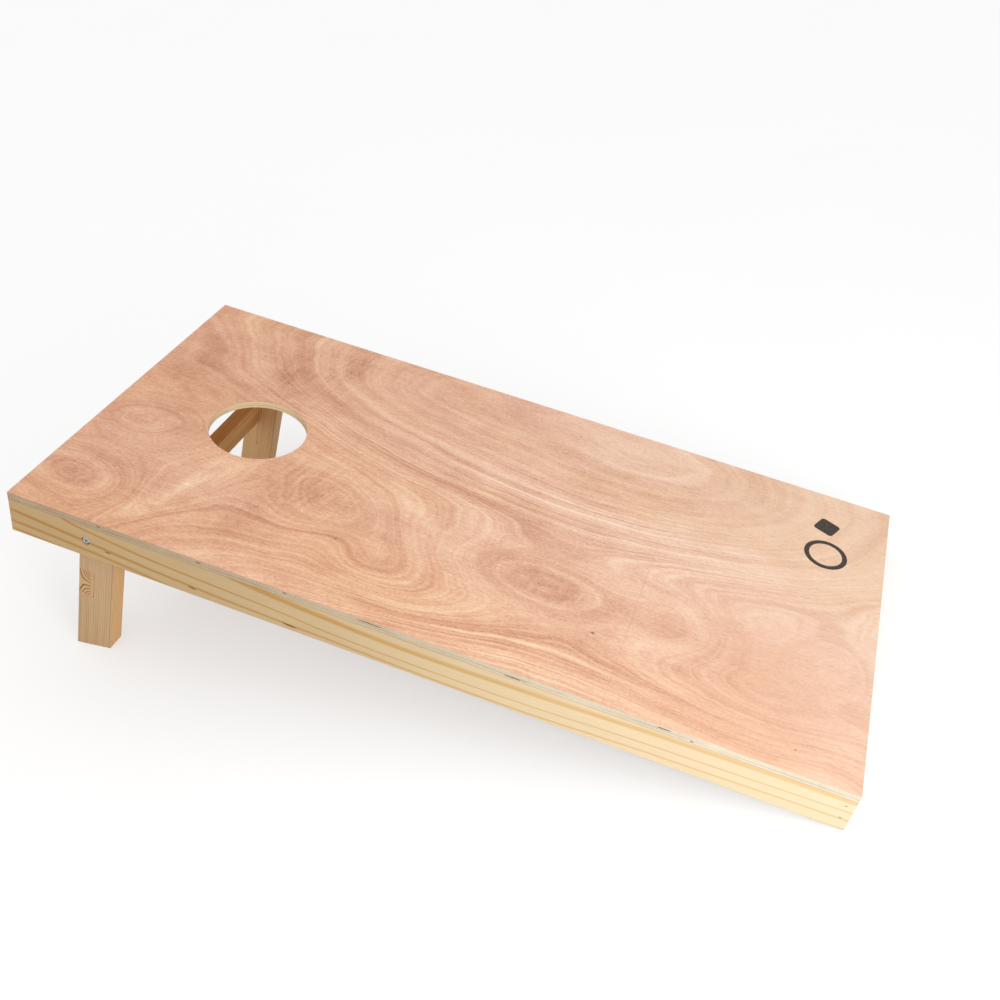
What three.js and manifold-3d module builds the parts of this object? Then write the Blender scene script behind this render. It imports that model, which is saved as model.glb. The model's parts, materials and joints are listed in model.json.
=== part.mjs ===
// Cornhole board: a tilted plywood deck with a bag hole, on a pine frame with folding legs.
//
// Millimetres, +Z up. The board stands in its playing stance: the low foot end of the frame
// and the two feet touch the ground at z = 0. The origin is on the ground, below the middle
// of the object's own box. +X runs from the high head end to the low foot end. Left is -Y,
// as a player sees it who faces the board from its foot end.

import * as THREE from 'three';
import { mergeVertices } from 'three/addons/utils/BufferGeometryUtils.js';
import Module from 'manifold-3d';

const wasm = await Module();
wasm.setup();

// ---------------------------------------------------------------------------
// Driving dimensions
// ---------------------------------------------------------------------------

const INCH = 25.4;

// The board as a whole
const BOARD_LENGTH = 48 * INCH;
const BOARD_WIDTH = 24 * INCH;
const HEAD_HEIGHT = 309; // from the ground to the top of the high end

// Plywood deck
const DECK_THICKNESS = 0.5 * INCH;
const BAG_HOLE_RADIUS = 3 * INCH;
const BAG_HOLE_FROM_HEAD = 9 * INCH;
const BAG_HOLE_SEGMENTS = 96;

// Pine frame, standing on edge under the deck
const RAIL_DEPTH = 58;
const RAIL_THICKNESS = 29;
const GLUE_LINE = 0.25; // between two pieces of wood that are glued together

// Folding leg frame
const LEG_WIDTH = 57.4;
const LEG_THICKNESS = 30;
const LEG_SIDE_GAP = 1.6; // from the side rail to the leg: room for a washer
const LEG_RAKE = THREE.MathUtils.degToRad(6); // from square with the deck, feet towards the head
const PIVOT_FROM_HEAD = 121.6;
const PIVOT_BELOW_DECK = RAIL_DEPTH / 2; // from the underside of the deck
const STRETCHER_HEIGHT = 50; // along the leg
const STRETCHER_THICKNESS = 24.5;
const STRETCHER_BELOW_PIVOT = 97.3; // to its upper face, along the leg

// Quarter-inch pan head bolts that the legs turn on
const BOLT_RADIUS = 0.125 * INCH;
const BOLT_LENGTH = 2.75 * INCH; // below the head
const BOLT_HEAD_RADIUS = 6.1;
const BOLT_HEAD_HEIGHT = 4;
const BOLT_HEAD_CROWN = 1.8; // height over which the head's edge is rounded
const BOLT_HEAD_SUNK = 1.6; // below the rail's outer face
const BOLT_END_CHAMFER = 0.8;
const BOLT_HOLE_RADIUS = 3.5;
const COUNTERBORE_RADIUS = 7;
const COUNTERBORE_DEPTH = 5.8;

// Washers and nylon insert lock nuts
const WASHER_RADIUS = 9;
const RAIL_WASHER_THICKNESS = 1.2;
const NUT_WASHER_THICKNESS = 1.4;
const STACK_GAP = 0.2; // between the pieces threaded on the bolt
const NUT_ACROSS_FLATS = 11.1;
const NUT_HEX_HEIGHT = 5.4;
const NUT_COLLAR_RADIUS = 5.1;
const NUT_HEIGHT = 7.9;
const INSERT_RADIUS = 4.3;
const INSERT_HEIGHT = 2;

// Countersunk screws that hold the stretcher to the legs
const SCREW_RADIUS = 2;
const SCREW_LENGTH = 45;
const SCREW_HEAD_RADIUS = 4;
const SCREW_HEAD_HEIGHT = 2.4;
const SCREW_HEAD_RIM = 0.3; // height of the head's straight rim
const SCREW_TIP_HEIGHT = 5;
const SCREW_SUNK = 0.3;
const SCREW_SPACING = 26; // between the two screws of one joint

// Cross recesses for a driver
const BOLT_CROSS = { radius: 3.4, depth: 2.6, wingThickness: 1.3 };
const SCREW_CROSS = { radius: 2.4, depth: 1.8, wingThickness: 0.9 };
const CROSS_TAPER = 0.35; // width at the recess's floor, as a share of its width at the top

// T-head brads
const BRAD_THICKNESS = 1.4;
const BRAD_SHANK_WIDTH = 1.6;
const BRAD_HEAD_WIDTH = 3;
const BRAD_HEAD_HEIGHT = 0.8;
const BRAD_TIP_HEIGHT = 2;
const CORNER_BRAD_LENGTH = 50;
const CORNER_BRAD_SUNK = 0.4;
const CORNER_BRAD_FROM_END = 11.5;
const CORNER_BRAD_DEPTHS = [26, 49.5]; // below the deck's top face
const DECK_BRAD_LENGTH = 32;
const DECK_BRAD_SUNK = 1.2; // the hole above the head is filled
const SIDE_BRAD_COUNT = 7;
const SIDE_BRAD_MARGIN = 70; // from the deck's ends to the first brad along a side
const END_BRAD_COUNT = 3;
const END_BRAD_SPACING = 190;

const FASTENER_CLEARANCE = 0.25; // around every screw and brad
const OVERSHOOT = 5; // how far a cut runs past the face that it opens
const BOLT_SEGMENTS = 32;
const SCREW_SEGMENTS = 16;

// The sides' names, and the sign of Y on each
const SIDES = [['left', -1], ['right', 1]];

// Derived sizes
const BOARD_DEPTH = DECK_THICKNESS + RAIL_DEPTH;
const HALF_WIDTH = BOARD_WIDTH / 2;
const RAIL_TOP = -DECK_THICKNESS - GLUE_LINE;
const RAIL_MIDDLE = RAIL_THICKNESS / 2;
const PIVOT_Z = -DECK_THICKNESS - PIVOT_BELOW_DECK;
const LEG_OUTER_Y = HALF_WIDTH - RAIL_THICKNESS - LEG_SIDE_GAP;

// The deck's slope puts the head end's top edge at its height while the foot end's bottom
// edge touches the ground.
const DIAGONAL = Math.hypot(BOARD_LENGTH, BOARD_DEPTH);
const BOARD_TILT = Math.asin(HEAD_HEIGHT / DIAGONAL) - Math.atan2(BOARD_DEPTH, BOARD_LENGTH);
const LEG_LEAN = BOARD_TILT + LEG_RAKE; // of the legs from upright
const BOX_MIDDLE_X =
  (BOARD_LENGTH * Math.cos(BOARD_TILT) - BOARD_DEPTH * Math.sin(BOARD_TILT)) / 2;
const PIVOT_HEIGHT =
  HEAD_HEIGHT - PIVOT_FROM_HEAD * Math.sin(BOARD_TILT) + PIVOT_Z * Math.cos(BOARD_TILT);

// ---------------------------------------------------------------------------
// Materials
// ---------------------------------------------------------------------------

const FINISHES = {
  plywood: { color: '#deb296', roughness: 0.6, metalness: 0 },
  pine: { color: '#e2c594', roughness: 0.65, metalness: 0 },
  legWood: { color: '#c09a72', roughness: 0.7, metalness: 0 },
  zinc: { color: '#b9c0c4', roughness: 0.35, metalness: 0.9 },
  nylon: { color: '#e8e6dc', roughness: 0.5, metalness: 0 },
};

// ---------------------------------------------------------------------------
// Solids
// ---------------------------------------------------------------------------

/** A closed geometry, moved by a matrix, as a solid that can be joined and cut. */
function solidOf(geometry, matrix = new THREE.Matrix4()) {
  const moved = geometry.clone().applyMatrix4(matrix);
  moved.deleteAttribute('normal');
  moved.deleteAttribute('uv');
  const merged = mergeVertices(moved);
  const mesh = new wasm.Mesh({
    numProp: 3,
    vertProperties: merged.attributes.position.array,
    triVerts: Uint32Array.from(merged.index.array),
  });
  return new wasm.Manifold(mesh);
}

/** A solid as a geometry. */
function geometryOf(solid) {
  const mesh = solid.getMesh();
  const geometry = new THREE.BufferGeometry();
  geometry.setAttribute('position', new THREE.BufferAttribute(mesh.vertProperties, 3));
  geometry.setIndex(new THREE.BufferAttribute(mesh.triVerts, 1));
  geometry.computeVertexNormals();
  return geometry;
}

/** The sum of several solids. */
function joined(solids) {
  return solids.reduce((sum, solid) => sum.add(solid));
}

/** A rectangular block between two corners. */
function block([x0, y0, z0], [x1, y1, z1]) {
  const geometry = new THREE.BoxGeometry(x1 - x0, y1 - y0, z1 - z0);
  geometry.translate((x0 + x1) / 2, (y0 + y1) / 2, (z0 + z1) / 2);
  return solidOf(geometry);
}

/** A rod along Y from y0 to y1, with its axis through x and z. */
function rodAlongY(radius, y0, y1, x = 0, z = 0) {
  const geometry = new THREE.CylinderGeometry(radius, radius, y1 - y0, BOLT_SEGMENTS);
  geometry.translate(x, (y0 + y1) / 2, z);
  return solidOf(geometry);
}

/** A profile of [radius, y] points turned about the Y axis. */
function turned(profile, segments = BOLT_SEGMENTS) {
  const points = profile.map(([radius, y]) => new THREE.Vector2(radius, y));
  return new THREE.LatheGeometry(points, segments);
}

/** A flat ring along Y. */
function ring(innerRadius, outerRadius, height) {
  return turned([
    [innerRadius, 0],
    [outerRadius, 0],
    [outerRadius, height],
    [innerRadius, height],
    [innerRadius, 0],
  ]);
}

/** A named mesh in a group, at a place and a turn. */
function addPiece(group, name, geometry, finish, position = [0, 0, 0], rotation = [0, 0, 0]) {
  const mesh = new THREE.Mesh(geometry, new THREE.MeshStandardMaterial(FINISHES[finish]));
  mesh.name = name;
  mesh.position.set(...position);
  mesh.rotation.set(...rotation);
  group.add(mesh);
}

// ---------------------------------------------------------------------------
// Brads
// ---------------------------------------------------------------------------

/** A brad from its head's top at z = 0 down along -Z. A hole for it is larger all round. */
function bradGeometry(length, clearance = 0, headRise = 0) {
  const headHalf = BRAD_HEAD_WIDTH / 2 + clearance;
  const shankHalf = BRAD_SHANK_WIDTH / 2 + clearance;
  const headBase = -BRAD_HEAD_HEIGHT - clearance;
  const tip = -length - clearance;
  const outline = new THREE.Shape();
  outline.moveTo(-headHalf, headRise);
  outline.lineTo(-headHalf, headBase);
  outline.lineTo(-shankHalf, headBase);
  outline.lineTo(-shankHalf, tip + BRAD_TIP_HEIGHT);
  outline.lineTo(0, tip);
  outline.lineTo(shankHalf, tip + BRAD_TIP_HEIGHT);
  outline.lineTo(shankHalf, headBase);
  outline.lineTo(headHalf, headBase);
  outline.lineTo(headHalf, headRise);
  const depth = BRAD_THICKNESS + 2 * clearance;
  const geometry = new THREE.ExtrudeGeometry(outline, { depth, bevelEnabled: false });
  geometry.translate(0, 0, -depth / 2);
  geometry.rotateX(Math.PI / 2);
  return geometry;
}

/** Brads through the side rails into the end rails, two at each corner. */
function cornerBrads() {
  const brads = [];
  const ends = [['head', CORNER_BRAD_FROM_END], ['foot', BOARD_LENGTH - CORNER_BRAD_FROM_END]];
  for (const [end, x] of ends) {
    for (const [sideName, side] of SIDES) {
      CORNER_BRAD_DEPTHS.forEach((depth, index) => {
        brads.push({
          name: `${end}_${sideName}_corner_brad_${index + 1}`,
          length: CORNER_BRAD_LENGTH,
          position: [x, side * (HALF_WIDTH - CORNER_BRAD_SUNK), -depth],
          rotation: [(-side * Math.PI) / 2, 0, 0],
        });
      });
    }
  }
  return brads;
}

/** One brad down through the deck into a rail. */
function deckBrad(name, x, y) {
  return { name, length: DECK_BRAD_LENGTH, position: [x, y, -DECK_BRAD_SUNK], rotation: [0, 0, 0] };
}

/** Brads through the deck into the rails, in a row along each side and across each end. */
function deckBrads() {
  const brads = [];
  const sideSpacing = (BOARD_LENGTH - 2 * SIDE_BRAD_MARGIN) / (SIDE_BRAD_COUNT - 1);
  for (const [sideName, side] of SIDES) {
    const y = side * (HALF_WIDTH - RAIL_MIDDLE);
    for (let index = 0; index < SIDE_BRAD_COUNT; index += 1) {
      const x = SIDE_BRAD_MARGIN + index * sideSpacing;
      brads.push(deckBrad(`deck_${sideName}_brad_${index + 1}`, x, y));
    }
  }
  for (const [end, x] of [['head', RAIL_MIDDLE], ['foot', BOARD_LENGTH - RAIL_MIDDLE]]) {
    for (let index = 0; index < END_BRAD_COUNT; index += 1) {
      const y = (index - (END_BRAD_COUNT - 1) / 2) * END_BRAD_SPACING;
      brads.push(deckBrad(`deck_${end}_brad_${index + 1}`, x, y));
    }
  }
  return brads;
}

const BRADS = [...cornerBrads(), ...deckBrads()];

/** All the brads' holes, open to the wood's face above each head. */
function bradHoles() {
  const holes = BRADS.map(({ length, position, rotation }) => {
    const matrix = new THREE.Matrix4().makeRotationFromEuler(new THREE.Euler(...rotation));
    matrix.setPosition(...position);
    return solidOf(bradGeometry(length, FASTENER_CLEARANCE, 2 * DECK_BRAD_SUNK), matrix);
  });
  return joined(holes);
}

const BRAD_HOLES = bradHoles();

// ---------------------------------------------------------------------------
// Deck and frame, with the head end's top edge at x = 0 and z = 0
// ---------------------------------------------------------------------------

/** The plywood panel with its round bag hole. */
function deckPanel() {
  const outline = new THREE.Shape();
  outline.moveTo(0, -HALF_WIDTH);
  outline.lineTo(BOARD_LENGTH, -HALF_WIDTH);
  outline.lineTo(BOARD_LENGTH, HALF_WIDTH);
  outline.lineTo(0, HALF_WIDTH);
  const hole = new THREE.Path();
  hole.absarc(BAG_HOLE_FROM_HEAD, 0, BAG_HOLE_RADIUS, 0, 2 * Math.PI, true);
  outline.holes.push(hole);
  const geometry = new THREE.ExtrudeGeometry(outline, {
    depth: DECK_THICKNESS,
    bevelEnabled: false,
    curveSegments: BAG_HOLE_SEGMENTS,
  });
  geometry.translate(0, 0, -DECK_THICKNESS);
  return geometryOf(solidOf(geometry).subtract(BRAD_HOLES));
}

/** A full-length side rail, with the pivot bolt's hole and the recess for its head. */
function sideRail(side) {
  const outer = side * HALF_WIDTH;
  const inner = side * (HALF_WIDTH - RAIL_THICKNESS);
  const recessFloor = side * (HALF_WIDTH - COUNTERBORE_DEPTH);
  const overshoot = side * OVERSHOOT;
  const rail = block(
    [0, Math.min(outer, inner), -BOARD_DEPTH],
    [BOARD_LENGTH, Math.max(outer, inner), RAIL_TOP],
  );
  const boltEnds = [outer + overshoot, inner - overshoot].sort((a, b) => a - b);
  const recessEnds = [outer + overshoot, recessFloor].sort((a, b) => a - b);
  const boltHole = rodAlongY(BOLT_HOLE_RADIUS, ...boltEnds, PIVOT_FROM_HEAD, PIVOT_Z);
  const recess = rodAlongY(COUNTERBORE_RADIUS, ...recessEnds, PIVOT_FROM_HEAD, PIVOT_Z);
  return geometryOf(rail.subtract(joined([boltHole, recess])).subtract(BRAD_HOLES));
}

/** A rail across one end, between the side rails. */
function endRail(x0) {
  const halfLength = HALF_WIDTH - RAIL_THICKNESS - GLUE_LINE;
  const rail = block(
    [x0, -halfLength, -BOARD_DEPTH],
    [x0 + RAIL_THICKNESS, halfLength, RAIL_TOP],
  );
  return geometryOf(rail.subtract(BRAD_HOLES));
}

// ---------------------------------------------------------------------------
// Leg frame, about the pivot: +Z runs up the leg and +X towards the foot end
// ---------------------------------------------------------------------------

/** The height along the leg at which the ground crosses it. */
function groundLine(x) {
  return (x * Math.sin(LEG_LEAN) - PIVOT_HEIGHT) / Math.cos(LEG_LEAN);
}

/** Places of the two screws that go through the stretcher into one leg, along +X. */
function screwPlaces(side) {
  const x = -LEG_WIDTH / 2 + SCREW_SUNK;
  const y = side * (LEG_OUTER_Y - LEG_THICKNESS / 2);
  const middleZ = -STRETCHER_BELOW_PIVOT - STRETCHER_HEIGHT / 2;
  return [0.5, -0.5].map((share) => ({
    position: [x, y, middleZ + share * SCREW_SPACING],
    rotation: [0, 0, -Math.PI / 2],
  }));
}

/** A countersunk screw's profile from its head at y = 0 along +Y. A hole for it is larger. */
function screwProfile(clearance = 0, headRise = 0) {
  return [
    [0, -headRise],
    [SCREW_HEAD_RADIUS + clearance, -headRise],
    [SCREW_HEAD_RADIUS + clearance, SCREW_HEAD_RIM + clearance / 2],
    [SCREW_RADIUS + clearance, SCREW_HEAD_HEIGHT + clearance],
    [SCREW_RADIUS + clearance, SCREW_LENGTH - SCREW_TIP_HEIGHT + clearance],
    [0, SCREW_LENGTH + clearance],
  ];
}

/** All the holes for the stretcher's screws. */
function screwHoles() {
  const hole = turned(screwProfile(FASTENER_CLEARANCE, OVERSHOOT), SCREW_SEGMENTS);
  const solids = SIDES.flatMap(([, side]) =>
    screwPlaces(side).map(({ position, rotation }) => {
      const matrix = new THREE.Matrix4().makeRotationFromEuler(new THREE.Euler(...rotation));
      matrix.setPosition(...position);
      return solidOf(hole, matrix);
    }),
  );
  return joined(solids);
}

const SCREW_HOLES = screwHoles();

/** The stretcher's block, or the notch for it, which is larger all round. */
function stretcherBlock(clearance = 0, endRise = 0) {
  const back = -LEG_WIDTH / 2;
  const top = -STRETCHER_BELOW_PIVOT;
  const halfLength = LEG_OUTER_Y + endRise;
  return block(
    [back - endRise, -halfLength, top - STRETCHER_HEIGHT - clearance],
    [back + STRETCHER_THICKNESS + clearance, halfLength, top + clearance],
  );
}

/**
 * A leg. Its top is cut parallel to the deck, just below it, and square at the back, which
 * stops the leg when it is open. The front of the top is round about the pivot, so that the
 * leg can fold forward. Its foot is cut level with the ground. A notch in its back edge
 * takes the stretcher, whose end shows in the leg's outer face.
 */
function leg(side) {
  const half = LEG_WIDTH / 2;
  const topBack = half * (1 / Math.cos(LEG_RAKE) - Math.tan(LEG_RAKE));
  const outline = new THREE.Shape();
  outline.moveTo(-half, groundLine(-half));
  outline.lineTo(half, groundLine(half));
  outline.lineTo(half, 0);
  outline.absarc(0, 0, half, 0, Math.PI / 2 + LEG_RAKE, false);
  outline.lineTo(-half, topBack);
  const geometry = new THREE.ExtrudeGeometry(outline, {
    depth: LEG_THICKNESS,
    bevelEnabled: false,
    curveSegments: BOLT_SEGMENTS,
  });
  geometry.translate(0, 0, -LEG_THICKNESS / 2);
  geometry.rotateX(Math.PI / 2);
  geometry.translate(0, side * (LEG_OUTER_Y - LEG_THICKNESS / 2), 0);
  const boltHole = rodAlongY(BOLT_HOLE_RADIUS, -HALF_WIDTH, HALF_WIDTH);
  const cuts = joined([boltHole, stretcherBlock(GLUE_LINE, OVERSHOOT), SCREW_HOLES]);
  return geometryOf(solidOf(geometry).subtract(cuts));
}

/** The bar across both legs, let into their back edges. */
function stretcher() {
  return geometryOf(stretcherBlock().subtract(SCREW_HOLES));
}

// ---------------------------------------------------------------------------
// Metal fasteners, each along +Y from its outer end at y = 0
// ---------------------------------------------------------------------------

/** A cross recess in a head whose top is at y = 0. */
function crossRecess({ radius, depth, wingThickness }) {
  const outline = new THREE.Shape();
  outline.moveTo(-radius, -OVERSHOOT);
  outline.lineTo(radius, -OVERSHOOT);
  outline.lineTo(radius, 0);
  outline.lineTo(radius * CROSS_TAPER, depth);
  outline.lineTo(-radius * CROSS_TAPER, depth);
  outline.lineTo(-radius, 0);
  const wing = new THREE.ExtrudeGeometry(outline, { depth: wingThickness, bevelEnabled: false });
  wing.translate(0, 0, -wingThickness / 2);
  const wings = [45, 135].map((degrees) =>
    solidOf(wing, new THREE.Matrix4().makeRotationY(THREE.MathUtils.degToRad(degrees))),
  );
  return joined(wings);
}

/** A pan head bolt. */
function pivotBolt() {
  const end = BOLT_HEAD_HEIGHT + BOLT_LENGTH;
  const flat = BOLT_HEAD_RADIUS - BOLT_HEAD_CROWN;
  const roundSteps = 5;
  const profile = [[0, 0]];
  for (let step = 0; step <= roundSteps; step += 1) {
    const angle = (step / roundSteps) * (Math.PI / 2);
    const drop = BOLT_HEAD_CROWN * (1 - Math.cos(angle));
    profile.push([flat + BOLT_HEAD_CROWN * Math.sin(angle), drop]);
  }
  profile.push(
    [BOLT_HEAD_RADIUS, BOLT_HEAD_HEIGHT],
    [BOLT_RADIUS, BOLT_HEAD_HEIGHT],
    [BOLT_RADIUS, end - BOLT_END_CHAMFER],
    [BOLT_RADIUS - BOLT_END_CHAMFER, end],
    [0, end],
  );
  return geometryOf(solidOf(turned(profile)).subtract(crossRecess(BOLT_CROSS)));
}

/** A lock nut: a hexagon with a round collar, recessed for the nylon insert. */
function lockNut() {
  const cornerRadius = NUT_ACROSS_FLATS / Math.sqrt(3);
  const hexagon = new THREE.CylinderGeometry(cornerRadius, cornerRadius, NUT_HEX_HEIGHT, 6);
  hexagon.translate(0, NUT_HEX_HEIGHT / 2, 0);
  const top = NUT_HEIGHT + OVERSHOOT;
  const collar = rodAlongY(NUT_COLLAR_RADIUS, NUT_HEX_HEIGHT / 2, NUT_HEIGHT);
  const bore = rodAlongY(BOLT_HOLE_RADIUS, -OVERSHOOT, top);
  const seat = rodAlongY(INSERT_RADIUS + STACK_GAP, NUT_HEIGHT - INSERT_HEIGHT, top);
  return geometryOf(solidOf(hexagon).add(collar).subtract(bore).subtract(seat));
}

/** A countersunk screw with a cross recess. */
function stretcherScrew() {
  const screw = solidOf(turned(screwProfile(), SCREW_SEGMENTS));
  return geometryOf(screw.subtract(crossRecess(SCREW_CROSS)));
}

/** The bolt, washers, lock nut and insert of one leg's pivot, threaded inward from the rail. */
function addPivotHardware(group, sideName, side) {
  const bore = BOLT_HOLE_RADIUS;
  const railInner = RAIL_THICKNESS;
  const legInner = railInner + LEG_SIDE_GAP + LEG_THICKNESS;
  const nutWasherAt = legInner + STACK_GAP;
  const nutAt = nutWasherAt + NUT_WASHER_THICKNESS + STACK_GAP;
  const insertAt = nutAt + NUT_HEIGHT - INSERT_HEIGHT + STACK_GAP;
  const insertHeight = INSERT_HEIGHT - 2 * STACK_GAP;
  const pieces = [
    ['pivot_bolt', pivotBolt(), 'zinc', BOLT_HEAD_SUNK],
    ['rail_washer', ring(bore, WASHER_RADIUS, RAIL_WASHER_THICKNESS), 'zinc', railInner + STACK_GAP],
    ['nut_washer', ring(bore, WASHER_RADIUS, NUT_WASHER_THICKNESS), 'zinc', nutWasherAt],
    ['lock_nut', lockNut(), 'zinc', nutAt],
    ['nylon_insert', ring(bore, INSERT_RADIUS, insertHeight), 'nylon', insertAt],
  ];
  for (const [name, geometry, finish, inward] of pieces) {
    const position = [PIVOT_FROM_HEAD, side * (HALF_WIDTH - inward), PIVOT_Z];
    const rotation = [0, 0, side > 0 ? Math.PI : 0];
    addPiece(group, `${sideName}_${name}`, geometry, finish, position, rotation);
  }
}

// ---------------------------------------------------------------------------
// Assembly
// ---------------------------------------------------------------------------

const cornholeBoard = new THREE.Group();

const board = new THREE.Group();
board.position.set(-BOX_MIDDLE_X, 0, HEAD_HEIGHT);
board.rotation.y = BOARD_TILT;
cornholeBoard.add(board);

addPiece(board, 'deck_panel', deckPanel(), 'plywood');
for (const [sideName, side] of SIDES) {
  addPiece(board, `${sideName}_side_rail`, sideRail(side), 'pine');
}
addPiece(board, 'head_end_rail', endRail(0), 'pine');
addPiece(board, 'foot_end_rail', endRail(BOARD_LENGTH - RAIL_THICKNESS), 'pine');
for (const { name, length, position, rotation } of BRADS) {
  addPiece(board, name, bradGeometry(length), 'zinc', position, rotation);
}
for (const [sideName, side] of SIDES) {
  addPivotHardware(board, sideName, side);
}

const legFrame = new THREE.Group();
legFrame.position.set(PIVOT_FROM_HEAD, 0, PIVOT_Z);
legFrame.rotation.y = LEG_RAKE;
board.add(legFrame);

addPiece(legFrame, 'leg_stretcher', stretcher(), 'legWood');
for (const [sideName, side] of SIDES) {
  addPiece(legFrame, `${sideName}_leg`, leg(side), 'legWood');
  screwPlaces(side).forEach(({ position, rotation }, index) => {
    const name = `${sideName}_stretcher_screw_${index + 1}`;
    addPiece(legFrame, name, stretcherScrew(), 'zinc', position, rotation);
  });
}

export default cornholeBoard;
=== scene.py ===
import functools
import json
import math

import bpy
import numpy as np
from mathutils import Matrix, Vector


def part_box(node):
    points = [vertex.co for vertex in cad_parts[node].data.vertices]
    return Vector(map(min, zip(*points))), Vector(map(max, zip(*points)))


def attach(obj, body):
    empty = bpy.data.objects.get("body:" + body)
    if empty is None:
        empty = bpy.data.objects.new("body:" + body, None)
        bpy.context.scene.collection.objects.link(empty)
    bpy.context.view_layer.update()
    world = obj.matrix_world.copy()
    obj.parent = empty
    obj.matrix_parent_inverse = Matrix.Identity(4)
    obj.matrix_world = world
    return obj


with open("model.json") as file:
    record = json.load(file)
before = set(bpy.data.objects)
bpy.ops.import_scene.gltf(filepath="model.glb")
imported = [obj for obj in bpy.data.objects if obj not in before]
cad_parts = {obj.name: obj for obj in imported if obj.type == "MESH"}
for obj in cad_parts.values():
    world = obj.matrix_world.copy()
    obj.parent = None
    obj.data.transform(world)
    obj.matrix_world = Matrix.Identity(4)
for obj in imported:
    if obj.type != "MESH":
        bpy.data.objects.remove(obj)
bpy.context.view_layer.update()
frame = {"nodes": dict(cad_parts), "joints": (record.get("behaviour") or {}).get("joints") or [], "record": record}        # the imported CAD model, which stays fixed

# Looks of a cornhole board. Metres, in the CAD model's frame: +Z up, +X from the high head
# end to the low foot end. Left is -Y. Wood is worked out in two spaces that ride with the
# pieces: the board's (x from the head end, y from the middle, z above the deck's top) and
# the leg frame's (x towards the foot end, y from the middle, z up the leg from the pivot).

MM = 0.001

# ----- Places, from the frame -----

DECK_THICKNESS = 12.7 * MM
BAG_HOLE_RADIUS = 76.2 * MM
BAG_HOLE_FROM_HEAD = 228.6 * MM
LEG_RAKE = math.radians(6)


class Space:
    """A frame tilted about Y, whose x runs down the slope."""

    def __init__(self, origin, tilt):
        self.origin = Vector(origin)
        self.along = Vector((math.cos(tilt), 0, -math.sin(tilt)))
        self.up = Vector((math.sin(tilt), 0, math.cos(tilt)))

    def coordinates(self, obj):
        """The object's vertices in this space, as an array."""
        points = np.array([v.co for v in obj.data.vertices]) - np.array(self.origin)
        x = points @ np.array(self.along)
        z = points @ np.array(self.up)
        return np.column_stack([x, points[:, 1], z])

    def place(self, x, y, z):
        """A point of this space in the row frame."""
        return self.origin + x * self.along + z * self.up + Vector((0, y, 0))


def mount_axis(name):
    mounts = {mount["name"]: mount for mount in frame["record"]["mounts"]}
    return Vector(mounts[name]["axis"])


deck_low, deck_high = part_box("deck_panel")
deck_normal = mount_axis("deck_top")
board_tilt = math.atan2(deck_normal.x, deck_normal.z)
head_edge = (deck_low.x + DECK_THICKNESS * math.sin(board_tilt), 0, deck_high.z)
BOARD = Space(head_edge, board_tilt)
LEGS = Space(frame["joints"][0]["pos_m"], board_tilt + LEG_RAKE)
BOARD_LENGTH = (deck_high.x - head_edge[0]) / math.cos(board_tilt)
HALF_WIDTH = deck_high.y


def section(space, name):
    """A node's lowest and highest corner in a space."""
    points = space.coordinates(frame["nodes"][name])
    return points.min(axis=0).tolist(), points.max(axis=0).tolist()


# ----- Node trees -----


def rgb(red, green, blue):
    """A screen colour, 0 to 255, as linear RGBA."""
    def linear(value):
        value /= 255
        return value / 12.92 if value <= 0.04045 else ((value + 0.055) / 1.055) ** 2.4
    return (linear(red), linear(green), linear(blue), 1)


class NodeTree:
    """A node tree, built by short calls. An input is a socket or a plain value."""

    def __init__(self, tree):
        self.tree = tree
        self.tree.nodes.clear()

    def add(self, kind, **settings):
        node = self.tree.nodes.new(kind)
        for key, value in settings.items():
            setattr(node, key, value)
        return node

    def feed(self, socket, value):
        if isinstance(value, bpy.types.NodeSocket):
            self.tree.links.new(value, socket)
        else:
            socket.default_value = value

    def fed(self, kind, inputs, **settings):
        """A node with some of its inputs fed, each by its name or its index."""
        node = self.add(kind, **settings)
        for key, value in inputs.items():
            self.feed(node.inputs[key], value)
        return node


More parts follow.
